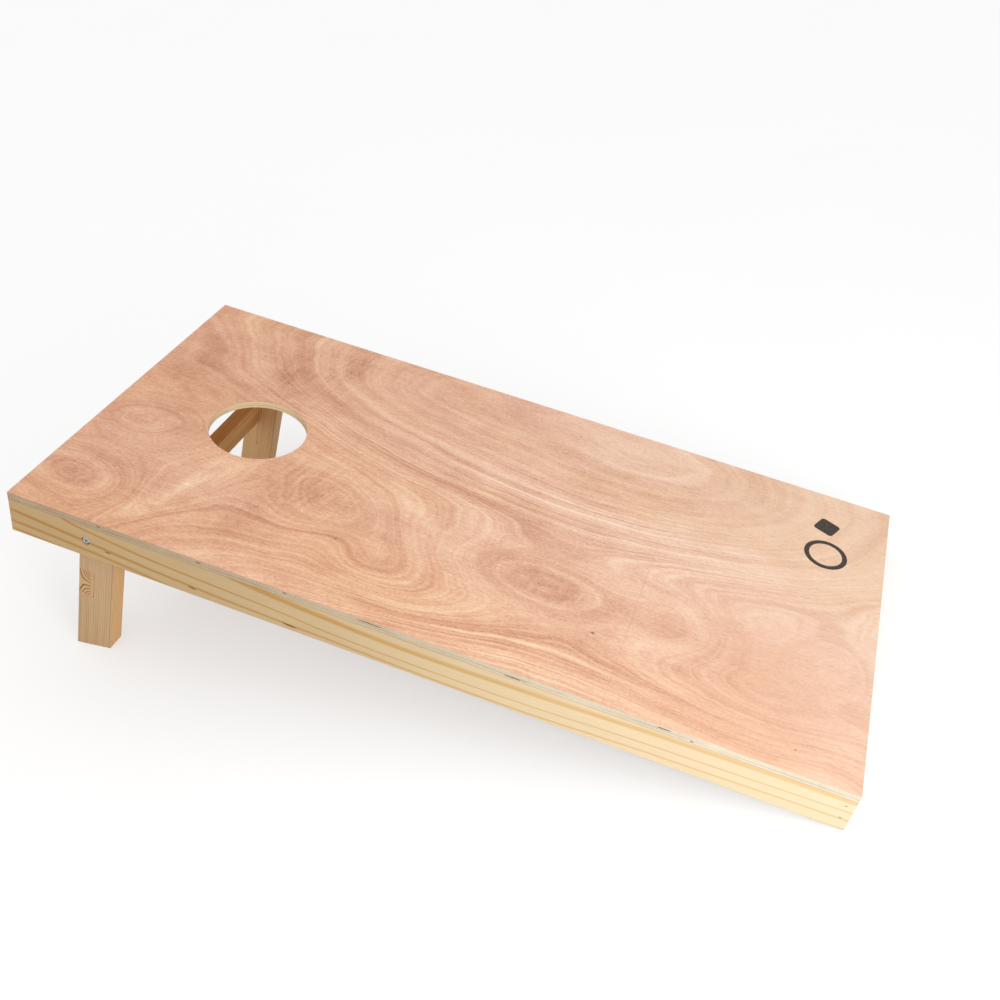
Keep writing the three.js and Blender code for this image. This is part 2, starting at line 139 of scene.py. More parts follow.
class Shader(NodeTree):
    """The node tree of a material or a world."""

    def __init__(self, owner):
        owner.use_nodes = True
        super().__init__(owner.node_tree)
        self.owner = owner

    def math(self, operation, *values):
        inputs = dict(enumerate(values))
        return self.fed("ShaderNodeMath", inputs, operation=operation).outputs[0]

    def total(self, *values):
        return functools.reduce(functools.partial(self.math, "ADD"), values)

    def product(self, *values):
        return functools.reduce(functools.partial(self.math, "MULTIPLY"), values)

    def largest(self, *values):
        return functools.reduce(functools.partial(self.math, "MAXIMUM"), values)

    def scaled(self, value, factor, offset=0.0):
        return self.math("MULTIPLY_ADD", value, factor, offset)

    def vector(self, operation, *values):
        node = self.fed("ShaderNodeVectorMath", dict(enumerate(values)), operation=operation)
        scalar = operation in ("DOT_PRODUCT", "LENGTH", "DISTANCE")
        return node.outputs["Value" if scalar else "Vector"]

    def combine(self, x, y, z=0.0):
        return self.fed("ShaderNodeCombineXYZ", dict(X=x, Y=y, Z=z)).outputs[0]

    def place(self):
        """This shading point in the row frame, where its piece is at rest."""
        return self.add("ShaderNodeTexCoord").outputs["Object"]

    def coordinates(self, space):
        """This shading point's x, y and z in a space."""
        offset = self.vector("SUBTRACT", self.place(), tuple(space.origin))
        x = self.vector("DOT_PRODUCT", offset, tuple(space.along))
        y = self.vector("DOT_PRODUCT", offset, (0, 1, 0))
        z = self.vector("DOT_PRODUCT", offset, tuple(space.up))
        return x, y, z

    def noise(self, place, stretch, detail=2.0, roughness=0.5, seed=0.0):
        """Smooth noise around 0.5. Stretch is the features per metre along each axis."""
        moved = self.vector("MULTIPLY_ADD", place, stretch, (seed, 1.7 * seed, 2.3 * seed))
        inputs = dict(Vector=moved, Scale=1.0, Detail=detail, Roughness=roughness)
        return self.fed("ShaderNodeTexNoise", inputs).outputs[0]

    def random(self, value, seed=0.0):
        """A fixed random number from 0 to 1 for each value."""
        inputs = dict(W=self.math("ADD", value, seed))
        node = self.fed("ShaderNodeTexWhiteNoise", inputs, noise_dimensions="1D")
        return node.outputs["Value"]

    def between(self, value, low, high, to_low=0.0, to_high=1.0):
        """A smooth step from to_low at low to to_high at high."""
        inputs = dict(enumerate((value, low, high, to_low, to_high)))
        node = self.fed("ShaderNodeMapRange", inputs, interpolation_type="SMOOTHSTEP")
        return node.outputs[0]

    def spot(self, plane, centre, radii, turn=0.0, flatness=1.0):
        """A soft oval spot, 1 at its centre, on a plane of x and y."""
        angle = math.radians(turn)
        offset = self.vector("SUBTRACT", plane, (*centre, 0))
        long_axis = (math.cos(angle) / radii[0], math.sin(angle) / radii[0], 0)
        short_axis = (-math.sin(angle) / radii[1], math.cos(angle) / radii[1], 0)
        u = self.vector("DOT_PRODUCT", offset, long_axis)
        v = self.vector("DOT_PRODUCT", offset, short_axis)
        square = self.math("MULTIPLY_ADD", u, u, self.product(v, v))
        if flatness != 1.0:
            square = self.math("POWER", square, flatness)
        return self.math("POWER", 1 / math.e, square)

    def curve(self, value, points):
        """A smooth curve through a few points."""
        node = self.fed("ShaderNodeFloatCurve", dict(Value=value))
        curve = node.mapping.curves[0]
        while len(curve.points) < len(points):
            curve.points.new(0.5, 0.5)
        for point, (x, y) in zip(curve.points, points):
            point.location = (x, y)
        node.mapping.use_clip = False
        node.mapping.update()
        return node.outputs[0]

    def ramp(self, value, *stops):
        """A colour for each value, from pairs of a position and a colour."""
        node = self.fed("ShaderNodeValToRGB", {0: value})
        elements = node.color_ramp.elements
        while len(elements) < len(stops):
            elements.new(1.0)
        for element, (position, colour) in zip(elements, stops):
            element.position = position
            element.color = colour
        return node.outputs[0]

    def mix(self, share, first, second, blend="MIX"):
        """The first colour where share is 0 and the second where it is 1."""
        inputs = {0: share, 6: first, 7: second}
        return self.fed("ShaderNodeMix", inputs, data_type="RGBA", blend_type=blend).outputs[2]

    def blended(self, share, first, second):
        """The first number where share is 0 and the second where it is 1."""
        inputs = {0: share, 2: first, 3: second}
        return self.fed("ShaderNodeMix", inputs, data_type="FLOAT").outputs[0]

    def bump(self, height, distance, strength):
        inputs = dict(Strength=strength, Distance=distance, Height=height)
        return self.fed("ShaderNodeBump", inputs).outputs[0]

    def principled(self, colour, roughness, **others):
        """A surface. The names of its other inputs have _ for each space."""
        inputs = {"Base Color": colour, "Roughness": roughness}
        inputs.update((name.replace("_", " "), value) for name, value in others.items())
        return self.fed("ShaderNodeBsdfPrincipled", inputs).outputs[0]

    def layered(self, share, first, second):
        """The first surface where share is 0 and the second where it is 1."""
        inputs = dict(enumerate((share, first, second)))
        return self.fed("ShaderNodeMixShader", inputs).outputs[0]

    def finish(self, surface, output="ShaderNodeOutputMaterial"):
        self.fed(output, dict(Surface=surface))
        return self.owner

    def surface(self, *values, **others):
        """Ends the tree with one principled surface, and gives the material."""
        return self.finish(self.principled(*values, **others))


def material_shader(name):
    return Shader(bpy.data.materials.new(name))


# ----- Plywood deck -----

# The rotary-cut veneer's figure is the contour lines of a hilly surface: each hill is an eye
# or a nest of loops. Centre and radii in metres, from the head end and the left edge, then
# the height, the turn in degrees, and how flat its top is.
VENEER_HILLS = [
    ((0.76, 0.56), (0.50, 0.265), 8.0, 0, 2.0),
    ((0.78, 0.55), (0.30, 0.130), 3.2, 0, 1.0),
    ((0.745, 0.18), (0.100, 0.044), 1.6, -3, 1.6),
    ((0.78, 0.18), (0.26, 0.105), 3.0, -2, 1.5),
    ((0.94, 0.195), (0.075, 0.065), 1.5, 0, 1.0),
    ((1.17, 0.215), (0.08, 0.09), 2.4, 0, 1.0),
    ((0.045, 0.088), (0.09, 0.055), 3.6, -5, 1.0),
    ((0.065, 0.235), (0.085, 0.06), 2.2, 10, 1.0),
    ((0.445, 0.125), (0.055, 0.04), 1.5, 20, 1.0),
    ((0.42, 0.19), (0.24, 0.075), -2.2, -38, 1.0),
    ((0.185, 0.09), (0.040, 0.20), -2.2, -23, 1.0),
    ((0.80, -0.06), (0.62, 0.14), 9.0, 0, 1.0),
    ((0.27, 0.60), (0.22, 0.26), 4.0, 20, 1.0),
    ((1.20, 0.02), (0.12, 0.07), 2.0, 30, 1.0),
]
VENEER_SLOPE = 2.5  # rise per metre across the board

# Clouds in the veneer: centre, radii, turn in degrees, how dark
VENEER_CLOUDS = [
    ((0.745, 0.180), (0.072, 0.030), -4, 0.14),
    ((0.775, 0.166), (0.040, 0.020), 12, 0.06),
    ((0.050, 0.090), (0.060, 0.040), -5, 0.14),
    ((0.215, 0.440), (0.035, 0.080), 20, 0.18),
    ((0.280, 0.540), (0.035, 0.070), 10, 0.14),
    ((0.340, 0.210), (0.080, 0.050), -35, 0.12),
    ((0.060, 0.400), (0.060, 0.100), 0, 0.10),
    ((0.300, 0.110), (0.040, 0.060), 0, 0.08),
    ((0.480, 0.170), (0.100, 0.035), -35, 0.10),
    ((0.200, 0.130), (0.012, 0.110), -14, -0.15),
    ((0.236, 0.180), (0.010, 0.060), -30, -0.13),
    ((0.160, 0.050), (0.012, 0.060), -34, -0.14),
    ((0.530, 0.240), (0.080, 0.012), -42, -0.14),
]
# Where the lines run long, dark and close together: centre, radii
VENEER_STREAKS = [((0.78, 0.345), (0.45, 0.07)), ((0.76, 0.045), (0.36, 0.05))]
# Where the grain shimmers: centre, radii, turn in degrees
VENEER_SILK = [((0.37, 0.22), (0.08, 0.07), -35), ((0.28, 0.51), (0.05, 0.09), 0)]
VENEER_JOINT = 0.879  # from the head end
# Small dark knots: centre, radius in mm
PIN_KNOTS = [((0.835, 0.118), 2.0), ((0.445, 0.128), 1.2), ((1.130, 0.038), 0.9)]


def veneer_height(shader, plane):
    """The hilly surface whose contour lines are the veneer's figure."""
    height = shader.vector("DOT_PRODUCT", plane, (0, VENEER_SLOPE, 0))
    for centre, radii, rise, turn, flatness in VENEER_HILLS:
        hill = shader.spot(plane, centre, radii, turn, flatness)
        height = shader.math("MULTIPLY_ADD", hill, rise, height)
    sway = shader.noise(plane, (3.0, 7.0, 1), detail=3, roughness=0.5, seed=4.0)
    return shader.math("MULTIPLY_ADD", sway, 2.0, height)


def veneer_grain(shader, plane):
    """The fine grain along the board: fibres and pores."""
    fibres = shader.noise(plane, (26, 420, 1), detail=3, roughness=0.6, seed=2.0)
    fleck = shader.noise(plane, (220, 640, 1), detail=2, roughness=0.6, seed=9.0)
    pores = shader.noise(plane, (60, 1500, 1), detail=1, seed=6.0)
    return fibres, fleck, shader.between(pores, 0.60, 0.72)


def veneer_tone(shader, plane, fibres, fleck):
    """The face veneer's lightness, around 0.5."""
    height = veneer_height(shader, plane)
    x, y, _ = split(shader, plane)
    contour = shader.combine(height, x, y)
    broad = shader.noise(contour, (0.50, 0.9, 1.4), detail=1, seed=1.0)
    bands = shader.noise(contour, (1.6, 0.6, 1.0), detail=3, roughness=0.65, seed=7.0)
    lines = shader.noise(contour, (6.5, 2.0, 3.0), detail=2, roughness=0.6, seed=3.0)
    patch = shader.noise(plane, (14, 26, 1), detail=3, roughness=0.55, seed=33.0)
    parts = ((broad, 0.34), (bands, 0.54), (lines, 0.30), (patch, 0.32), (fibres, 0.30), (fleck, 0.60))
    tone = 0.5 - 0.5 * sum(weight for _, weight in parts)
    for part, weight in parts:
        tone = shader.math("MULTIPLY_ADD", part, weight, tone)

    shimmer = shader.noise(turned(shader, plane, 14), (230, 14, 1), detail=2, seed=5.0)
    silk = shader.total(*(shader.spot(plane, *silky) for silky in VENEER_SILK))
    tone = shader.math("MULTIPLY_ADD", shader.scaled(shimmer, 0.44, -0.22), silk, tone)
    streaks = shader.total(shader.scaled(bands, 0.45), shader.scaled(lines, 0.85, -0.65))
    for centre, radii in VENEER_STREAKS:
        tone = shader.math("MULTIPLY_ADD", streaks, shader.spot(plane, centre, radii), tone)
    clouds = 0.0
    for centre, radii, turn, strength in VENEER_CLOUDS:
        cloud = shader.spot(plane, centre, radii, turn)
        clouds = shader.math("MULTIPLY_ADD", cloud, strength, clouds)
    brushed = shader.noise(turned(shader, plane, 8), (110, 22, 1), detail=3, roughness=0.6, seed=41.0)
    brushed = shader.between(brushed, 0.30, 0.70, 0.6, 1.4)
    return shader.math("SUBTRACT", tone, shader.product(clouds, brushed))


def turned(shader, vector, degrees):
    inputs = dict(Vector=vector, Angle=math.radians(degrees))
    return shader.fed("ShaderNodeVectorRotate", inputs, rotation_type="Z_AXIS").outputs[0]


def split(shader, vector):
    return shader.fed("ShaderNodeSeparateXYZ", {0: vector}).outputs


def near(shader, value, place, reach):
    """1 within reach of a place along one axis, fading to 0."""
    distance = shader.math("ABSOLUTE", shader.math("SUBTRACT", value, place))
    return shader.between(distance, 0.6 * reach, reach, 1, 0)


def deck_top(shader, z):
    """1 on the deck's top face, 0 below it."""
    return shader.between(z, -0.5 * MM, -0.3 * MM)


def left_face(shader, y):
    """1 on the board's left outer face, 0 inside it."""
    return shader.between(y, 0.4 * MM - HALF_WIDTH, 0.6 * MM - HALF_WIDTH, 1, 0)


def printed_mark(shader, plane):
    """A plain printed mark: a ring beside a rounded square."""
    ink_edge = 0.5 * MM
    ring_centre, ring_radius, ring_half = (1.127, 0.452), 30 * MM, 4.2 * MM
    square_centre, square_half, square_round, square_turn = (1.122, 0.523), 11 * MM, 6 * MM, 24
    from_ring = shader.vector("DISTANCE", plane, (*ring_centre, 0))
    off_ring = shader.math("ABSOLUTE", shader.math("SUBTRACT", from_ring, ring_radius))
    ring = shader.between(off_ring, ring_half - ink_edge, ring_half, 1, 0)
    corner = turned(shader, shader.vector("SUBTRACT", plane, (*square_centre, 0)), square_turn)
    corner = shader.vector("ABSOLUTE", corner)
    corner = shader.vector("SUBTRACT", corner, (square_half, square_half, 0))
    from_square = shader.vector("LENGTH", shader.vector("MAXIMUM", corner, (0, 0, 0)))
    square = shader.between(from_square, square_round - ink_edge, square_round, 1, 0)
    return shader.largest(ring, square)


# Torn spots in the left edge: place along the board, depth below the top, and half length, in mm
EDGE_VOIDS = [
    (145, 5.0, 4), (300, 5.0, 5), (430, 4.5, 3), (555, 4.4, 26), (760, 9.8, 17), (963, 5.0, 12),
    (1002, 9.6, 3),
]
CROSS_PLIES = (3.0 * MM, 9.7 * MM)  # depths of their middles
# Glue lines: depth and half width in mm, how dark
GLUE_LINES = [(0.7, 0.35, 0.50), (4.9, 0.35, 0.35), (7.9, 0.50, 0.75), (12.1, 0.35, 0.35)]
# The white screened onto the plies towards the foot end: a painted highlight.
PLY_PAINTED_HIGHLIGHT = (0.14, 0.27, 0.26, 1)


def painted_light_along_board(shader, x, colour, painted_highlight):
    """Painted light along the board: painted shade browns the wood towards the head end, and a painted
    highlight lightens it towards the foot end.
    """
    brown = shader.between(x, 0.15, 1.1, 1, 0)
    colour = shader.mix(brown, colour, rgb(221, 220, 221), blend="MULTIPLY")
    return shader.mix(shader.between(x, 0.0, 1.3), colour, painted_highlight, blend="SCREEN")


def glue_lines(shader, around, depth):
    """The dark glue between plies, patchy along the edge."""
    lines = []
    for place, half, dark in GLUE_LINES:
        lines.append(shader.scaled(near(shader, depth, place * MM, half * MM), dark))
    patchy = shader.noise(around, (22, 22, 10), detail=3, seed=21.0)
    patchy = shader.between(patchy, 0.36, 0.60, 0.15, 1.0)
    return shader.product(shader.largest(*lines), patchy)


def torn_spots(shader, around, cross):
    """Voids in the sawn edge: placed ones on the left, and others elsewhere in the cross plies."""
    x, y, z = split(shader, around)
    on_left = left_face(shader, y)
    elsewhere = shader.scaled(on_left, -1.0, 1.0)
    holes = shader.noise(around, (30, 30, 170), detail=1, seed=31.0)
    void = shader.product(shader.between(holes, 0.74, 0.77), cross, elsewhere)
    ragged = shader.noise(around, (300, 300, 900), detail=2, seed=17.0)
    plane = shader.combine(x, z)
    for along, below, half_length in EDGE_VOIDS:
        torn = shader.spot(plane, (along * MM, -below * MM), (half_length * MM, 1.3 * MM))
        torn = shader.between(shader.total(torn, shader.scaled(ragged, 0.9, -0.45)), 0.40, 0.62)
        void = shader.largest(void, shader.product(torn, on_left))
    return void


def ply_edge(shader, x, y, z):
    """The sawn edge's colour, grain and voids: plies, glue lines, torn spots with painted shade, and
    painted light along the board.
    """
    around = shader.combine(x, y, z)
    wobble = shader.noise(around, (14, 14, 0), detail=2, seed=8.0)
    depth = shader.math("MULTIPLY_ADD", wobble, 0.8 * MM, shader.scaled(z, -1.0, -0.4 * MM))
    long_grain = shader.noise(around, (14, 14, 900), detail=3, roughness=0.6, seed=3.0)
    end_grain = shader.noise(around, (700, 700, 400), detail=2, roughness=0.7, seed=5.0)
    cross = shader.largest(*(near(shader, depth, ply, 2.4 * MM) for ply in CROSS_PLIES))
    grain = shader.blended(cross, long_grain, end_grain)
    colour = shader.ramp(
        grain,
        (0.28, rgb(182, 154, 116)),
        (0.50, rgb(212, 186, 150)),
        (0.72, rgb(226, 206, 174)),
    )
    colour = shader.mix(shader.scaled(cross, 0.30), colour, rgb(206, 174, 138))
    stain = shader.noise(around, (9, 9, 60), detail=3, seed=12.0)
    colour = shader.mix(shader.between(stain, 0.48, 0.72, 0, 0.45), colour, rgb(186, 158, 120))
    from_hole = shader.vector("DISTANCE", shader.combine(x, y), (BAG_HOLE_FROM_HEAD, 0, 0))
    in_hole = shader.between(from_hole, BAG_HOLE_RADIUS + 1 * MM, BAG_HOLE_RADIUS + 3 * MM, 1, 0)
    warm = shader.mix(0.5, colour, rgb(250, 222, 176))
    # Painted light: outside the bag hole the edge gets painted shade towards the head end and a
    # painted highlight towards the foot end.
    colour = shader.mix(in_hole, painted_light_along_board(shader, x, colour, PLY_PAINTED_HIGHLIGHT), warm)
    colour = shader.mix(glue_lines(shader, around, depth), colour, rgb(118, 92, 62))
    red = shader.between(depth, 0.55 * MM, 0.75 * MM, 0.7, 0)
    colour = shader.mix(red, colour, rgb(208, 150, 120))
    void = torn_spots(shader, around, cross)
    # Painted shade in the torn voids, darkened where their hollows would lie in shade.
    colour = shader.mix(shader.scaled(void, 0.8), colour, rgb(104, 70, 50))
    return colour, grain, void


def veneer_colour(shader, plane, tone):
    """The veneer's colour for its tone, calmer at the foot. Painted light leaves it redder at the head
    end and lightens it towards the foot.
    """
    x, from_left, _ = split(shader, plane)
    calm = shader.between(x, 0.80, 1.12, 1, 0.55)
    tone = shader.math("MULTIPLY_ADD", shader.math("SUBTRACT", tone, 0.5), calm, 0.5)
    colour = shader.ramp(
        tone,
        (0.00, rgb(158, 94, 64)),
        (0.50, rgb(217, 167, 137)),
        (1.00, rgb(246, 222, 188)),
    )
    # The same veneer's lit tones, for painted light.
    pale = shader.ramp(
        tone,
        (0.00, rgb(172, 114, 86)),
        (0.50, rgb(225, 191, 168)),
        (1.00, rgb(250, 238, 222)),
    )
    # Painted light: lighter towards the foot end and away from the left edge, with a painted highlight
    # at the foot end.
    painted_light_share = shader.product(
        shader.between(x, 0.1, 1.35), shader.between(from_left, 0.0, 0.5, 0.25, 1.1)
    )
    painted_light_share = shader.total(painted_light_share, shader.between(x, 1.05, 1.25, 0, 0.35))
    colour = shader.mix(painted_light_share, colour, pale)
    hue = shader.noise(plane, (2.2, 6.0, 1), detail=2, seed=14.0)
    tan = shader.mix(1.0, colour, rgb(251, 245, 230), blend="MULTIPLY")
    return shader.mix(shader.between(hue, 0.40, 0.65, 0, 0.6), colour, tan)


def veneer_surface(shader, x, from_left, z):
    """The deck's faces."""
    plane = shader.combine(x, from_left)
    fibres, fleck, pores = veneer_grain(shader, plane)
    colour = veneer_colour(shader, plane, veneer_tone(shader, plane, fibres, fleck))
    colour = shader.mix(shader.scaled(pores, 0.30), colour, rgb(150, 96, 68))
    joint = near(shader, x, VENEER_JOINT, 0.8 * MM)
    joint = shader.product(joint, shader.between(from_left, 0.33, 0.36, 0.16, 0))
    colour = shader.mix(joint, colour, rgb(140, 92, 64))
    for centre, radius in PIN_KNOTS:
        knot = shader.spot(plane, centre, (1.6 * radius * MM, radius * MM))
        colour = shader.mix(shader.scaled(knot, 0.85), colour, rgb(92, 54, 36))

    wear = shader.noise(plane, (260, 700, 1), detail=2, seed=40.0)
    worn = shader.between(wear, 0.30, 0.42, 0.82, 0.97)
    ink = shader.product(printed_mark(shader, plane), deck_top(shader, z), worn)
    colour = shader.mix(ink, colour, rgb(38, 34, 33))
    gloss = shader.blended(ink, shader.scaled(fleck, 0.2, 0.48), 0.45)
    relief = shader.math("SUBTRACT", shader.scaled(fibres, 0.8), pores)
    normal = shader.bump(relief, 0.10 * MM, 0.35)
    return shader.principled(colour, gloss, Normal=normal, Specular_IOR_Level=0.25)


def ply_surface(shader, x, y, z):
    """The deck's sawn edges."""
    colour, grain, void = ply_edge(shader, x, y, z)
    height = shader.math("SUBTRACT", grain, shader.scaled(void, 2.0))
    normal = shader.bump(height, 0.15 * MM, 0.5)
    return shader.principled(colour, 0.85, Normal=normal, Specular_IOR_Level=0.2)


def plywood_material():
    """The deck: figured veneer on its faces, plies at its edges."""
    shader = material_shader("plywood_okoume")
    x, y, z = shader.coordinates(BOARD)
    underside = shader.between(z, 0.4 * MM - DECK_THICKNESS, 0.6 * MM - DECK_THICKNESS, 1, 0)
    face = shader.largest(deck_top(shader, z), underside)
    veneer = veneer_surface(shader, x, shader.math("ADD", y, HALF_WIDTH), z)
    return shader.finish(shader.layered(face, ply_surface(shader, x, y, z), veneer))


# ----- Solid timber -----

# Tones of one tree each. The latewood's tone multiplies the others. The pine's screened-on white is a
# painted highlight towards the foot end, and the legs' lighter tone for their faces towards the foot
# end is painted light.
PINE_TONES = dict(
    early=rgb(225, 191, 138),
    late=rgb(237, 204, 132),
    fibre=rgb(212, 174, 120),
    end=rgb(192, 150, 100),
    painted_highlight=(0.02, 0.19, 0.205, 1),
)
LEG_TONES = dict(
    early=rgb(206, 171, 132),
    late=rgb(190, 160, 126),
    fibre=rgb(186, 148, 108),
    end=rgb(178, 138, 96),
    front=rgb(243, 195, 136),
)
# The far leg's copy of the leg tones is lighter: painted light against the shade of the deck over it.
FAR_LEG_LIT_TONES = dict(LEG_TONES, early=rgb(252, 208, 152), fibre=rgb(230, 182, 128))
STRETCHER_TONES = dict(
    early=rgb(248, 190, 116),
    late=rgb(184, 146, 104),
    fibre=rgb(208, 150, 88),
    end=rgb(204, 170, 130),
)


def growth_rings(shader, place, pith, spacing, sway, seed):
    """Latewood bands, 0 to 1, of rings about a pith line along the first axis."""
    along, across, up = place
    radius = shader.vector("DISTANCE", shader.combine(0.0, across, up), (0, *pith))
    point = shader.combine(along, across, up)
    drift = shader.noise(point, (1.3, 3, 3), detail=2, seed=seed)
    ripple = shader.noise(point, (5, 30, 30), detail=2, seed=seed + 3)
    uneven = shader.noise(shader.combine(radius, 0.0), (0.2 / spacing, 1, 1), detail=2, seed=seed)
    rings = shader.total(
        shader.scaled(radius, 1 / spacing),
        shader.scaled(uneven, 2.5),
        shader.scaled(drift, sway),
        shader.scaled(ripple, 0.35),
    )
    ring = shader.math("FLOOR", rings)
    phase = shader.math("FRACT", rings)
    chance = shader.random(ring, seed)
    start = shader.scaled(chance, 0.30, 0.52)
    rise = shader.between(phase, start, 0.93)
    fall = shader.between(phase, 0.94, 1.0, 1, 0)
    strength = shader.scaled(shader.random(ring, seed + 11), 0.75, 0.25)
    return shader.product(rise, fall, strength)


def edge_distance(shader, place, low, high):
    """Distance of a point on a long block's surface from its nearest long edge."""
    reaches = []
    for value, start, end in zip(place[1:], low[1:], high[1:]):
        from_start = shader.math("SUBTRACT", value, start)
        from_end = shader.math("SUBTRACT", end, value)
        reaches.append(shader.math("MINIMUM", from_start, from_end))
    return shader.largest(*reaches)


def sawn_ends(shader, along, low, high):
    """1 on a piece's two end faces, 0 between them."""
    return shader.largest(
        shader.between(along, low + 0.2 * MM, low + 0.5 * MM, 1, 0),
        shader.between(along, high - 0.5 * MM, high - 0.2 * MM),
    )


def worn_edges(shader, point, to_edge, seed):
    """Where handling has rubbed the long edges, from 0 to 0.45."""
    rub = shader.noise(point, (60, 160, 160), detail=2, seed=seed + 9)
    to_edge = shader.math("MULTIPLY_ADD", rub, -2.2 * MM, to_edge)
    return shader.between(to_edge, -0.6 * MM, 0.4 * MM, 0.45, 0)


def wood_grain(shader, point, seed):
    """Fibres and finer fibres along the grain, and the pores of a sawn end."""
    fibres = shader.noise(point, (12, 520, 520), detail=3, roughness=0.6, seed=seed + 5)
    fine = shader.noise(point, (40, 1500, 1500), detail=2, roughness=0.6, seed=seed + 6)
    pores = shader.noise(point, (1400, 1400, 1400), detail=1, seed=seed + 8)
    return fibres, fine, pores


def wood_colour(shader, cloud, grain, ends, tones):
    """Streaky wood along the grain, and browner sawn ends."""
    fibres, _, pores = grain
    colour = shader.mix(shader.between(cloud, 0.35, 0.75, 0, 0.5), tones["early"], tones["fibre"])
    colour = shader.mix(shader.between(fibres, 0.45, 0.75, 0, 0.40), colour, tones["fibre"])
    sawn = shader.mix(shader.between(pores, 0.45, 0.7, 0, 0.6), tones["end"], tones["fibre"])
    return shader.mix(ends, colour, sawn)


def wood_surface(shader, colour, grain, late, marks, ends):
    """The surface, with relief and gloss from the grain, latewood, marks and sawn ends."""
    fibres, fine, pores = grain
    height = shader.total(
        shader.scaled(fibres, 0.6), shader.scaled(fine, 0.5), shader.scaled(late, 0.5)
    )
    height = shader.blended(ends, height, shader.scaled(pores, 1.6))
    height = shader.math("MULTIPLY_ADD", marks, -0.4, height)
    gloss = shader.blended(ends, shader.scaled(late, -0.14, 0.62), 0.85)
    normal = shader.bump(height, 0.12 * MM, 0.4)
    return shader.surface(colour, gloss, Normal=normal, Specular_IOR_Level=0.3)


def timber_material(
    name, space, order, box, tones, pith, spacing, sway=2.0, seed=0.0, streaks=18, figure=None
):
    """
    Planed softwood. order names the space's axes as (along the grain, across, across), box is
    the piece's corners in that space, and pith is where the tree's centre crosses the section.
    streaks is how many tone changes a metre across the grain has. figure can replace the growth
    rings and add marks: it gets the space's axes, the box, the rings, and where the ends are.
    """
    shader = material_shader(name)
    axes = shader.coordinates(space)
    place = [axes[axis] for axis in order]
    low, high = ([corner[axis] for axis in order] for corner in box)
    point = shader.combine(*place)
    ends = sawn_ends(shader, place[0], low[0], high[0])
    late, marks = growth_rings(shader, place, pith, spacing, sway, seed), 0.0
    if figure:
        late, marks = figure(shader, axes, box, late, ends)

    grain = wood_grain(shader, point, seed)
    cloud = shader.noise(point, (3, streaks, streaks), detail=3, seed=seed + 7)
    colour = wood_colour(shader, cloud, grain, ends, tones)
    # Painted light: the leg's face towards the foot end gets a lighter tone where the light falls on
    # it.
    if "front" in tones:
        front = shader.between(axes[0], box[1][0] - 0.6 * MM, box[1][0] - 0.3 * MM, 0, 0.85)
        colour = shader.mix(front, colour, tones["front"])
    worn = worn_edges(shader, point, edge_distance(shader, place, low, high), seed)
    colour = shader.mix(worn, colour, tones["end"])
    # Painted light along the board: painted shade towards the head end, a painted highlight towards
    # the foot end.
    if "painted_highlight" in tones:
        colour = painted_light_along_board(shader, shader.coordinates(BOARD)[0], colour, tones["painted_highlight"])
    dark = shader.largest(late, shader.between(grain[1], 0.62, 0.72, 0, 0.30))
    colour = shader.mix(dark, colour, tones["late"], blend="MULTIPLY")
    # Marks: the left rail's bark marks in their own colour, and painted shade along the right leg's
    # crack.
    colour = shader.mix(marks, colour, rgb(132, 86, 46))
    return wood_surface(shader, colour, grain, late, marks, ends)


# Growth lines on the left rail's outer face: half width in mm (more near the head end),
# strength, and points of the share of the board's length and of the board's depth below the
# deck's top.
BOARD_DEPTH = 70.7 * MM
RAIL_LINES = [
    (4.2, 0.9, [
        (0.28, 0.13), (0.33, 0.24), (0.40, 0.34), (0.50, 0.42), (0.66, 0.37), (0.83, 0.27),
        (1.0, 0.22),
    ]),
    (1.2, 0.95, [
        (0.065, 0.12), (0.085, 0.25), (0.12, 0.34), (0.21, 0.50), (0.31, 0.58), (0.36, 0.63),
        (0.41, 0.70), (0.57, 0.74), (0.8, 0.60), (1.0, 0.50),
    ]),
    (1.6, 0.95, [
        (0.0, 0.43), (0.11, 0.61), (0.24, 0.79), (0.42, 0.89), (0.60, 0.94), (0.78, 0.83),
        (1.0, 0.72),
    ]),
    (1.6, 0.85, [(0.0, 0.73), (0.09, 0.81), (0.16, 0.91), (0.22, 1.02), (0.5, 1.25), (1.0, 1.0)]),
    (1.2, 0.80, [(0.0, 0.93), (0.05, 0.98), (0.12, 1.1), (0.5, 1.5), (0.8, 1.15), (1.0, 0.97)]),
    (2.4, 0.35, [(0.47, 0.12), (0.50, 0.18), (0.545, 0.18), (0.57, 0.12)]),
]
# Bark marks: place along and below the top, then half length and half height, in mm
RAIL_SPOTS = [(157, 48.5, 4.5, 1.4), (290, 57.5, 6.5, 1.8), (440, 62.2, 11.0, 1.9)]


